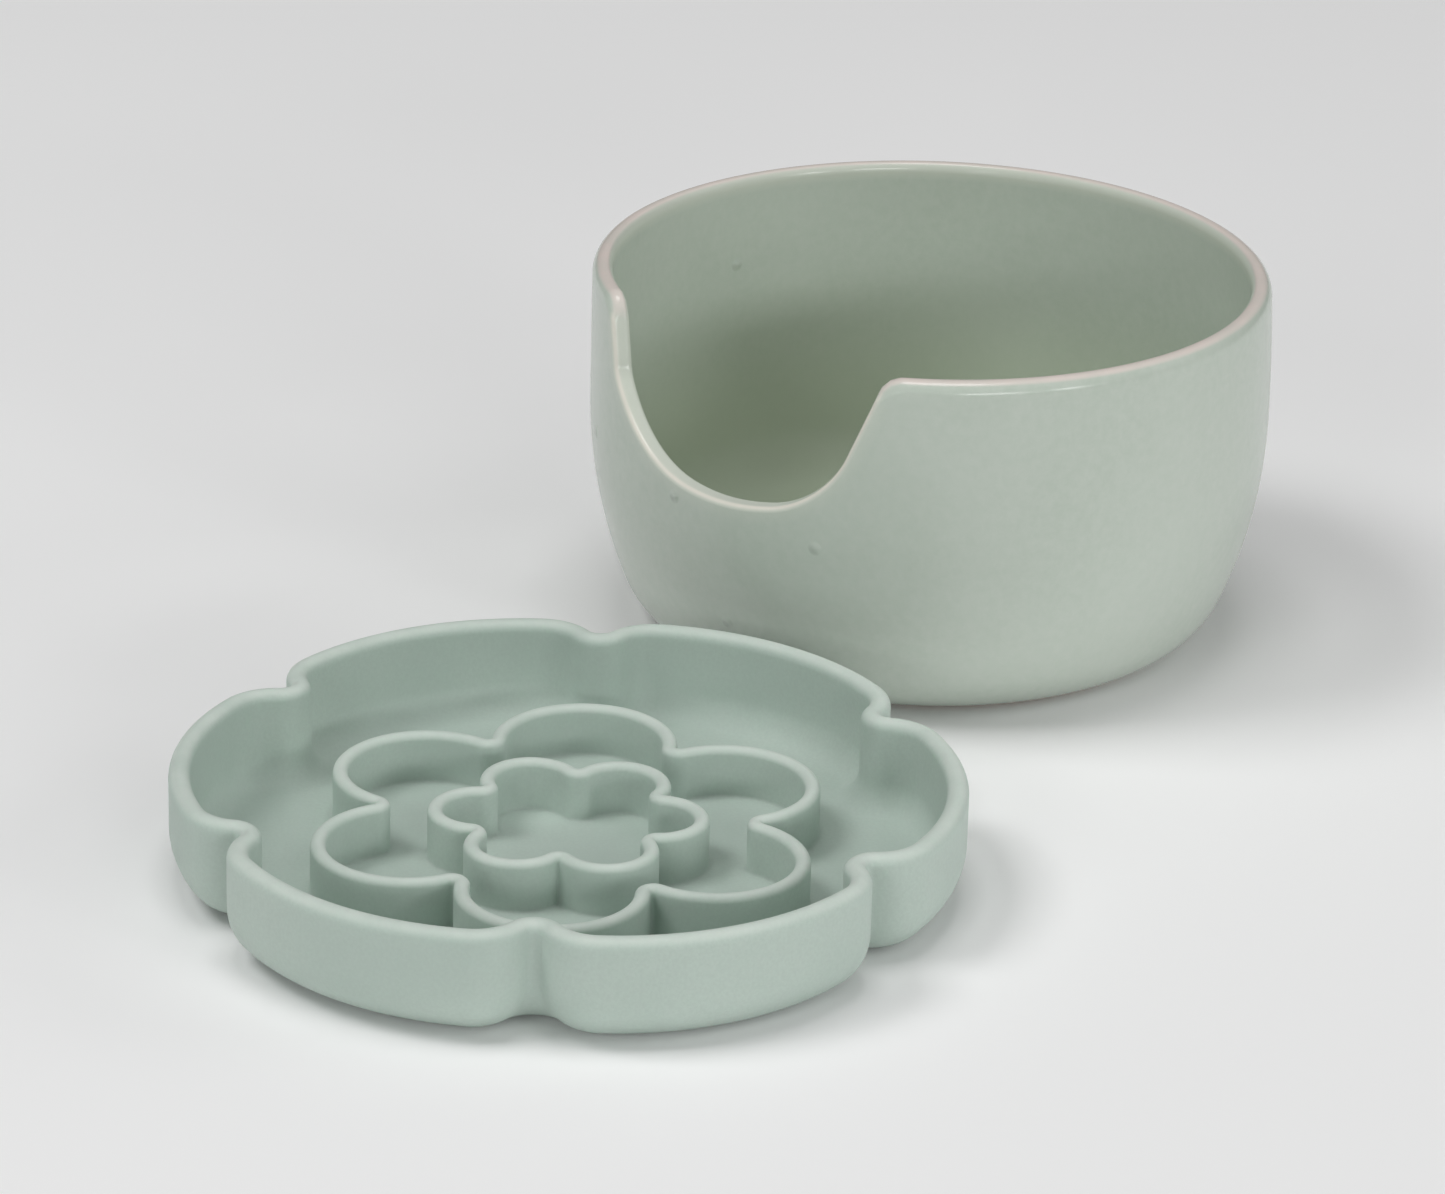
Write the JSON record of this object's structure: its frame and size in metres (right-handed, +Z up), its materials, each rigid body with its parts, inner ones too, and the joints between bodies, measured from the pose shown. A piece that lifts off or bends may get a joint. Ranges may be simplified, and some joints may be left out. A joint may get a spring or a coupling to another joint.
{
  "type": "mixing palette set",
  "caption": "Flower-shaped paint palette tray with nested wells, beside a round glazed rinse bowl with a brush notch cut into its rim.",
  "frame": {"origin": "under the middle of the pair's bounding box, on the surface that both pieces stand on", "axes": "+Z up, +Y from the tray's side towards the bowl's side, along the pair's longest side; the bowl stands back and right (+X, +Y), the tray front and left"},
  "size_m": [0.2474, 0.321, 0.0875],
  "materials": {
    "glazed_ceramic": "gloss",
    "silicone": "matte"
  },
  "bodies": {
    "bowl": {"notched_bowl": "glazed_ceramic"},
    "tray": {"palette_tray": "silicone"}
  },
  "joints": [
    {"name": "tray_lift", "type": "slide", "parent": "bowl", "child": "tray", "axis": [0, 0, 1], "range_m": [0, 0.15]}
  ]
}
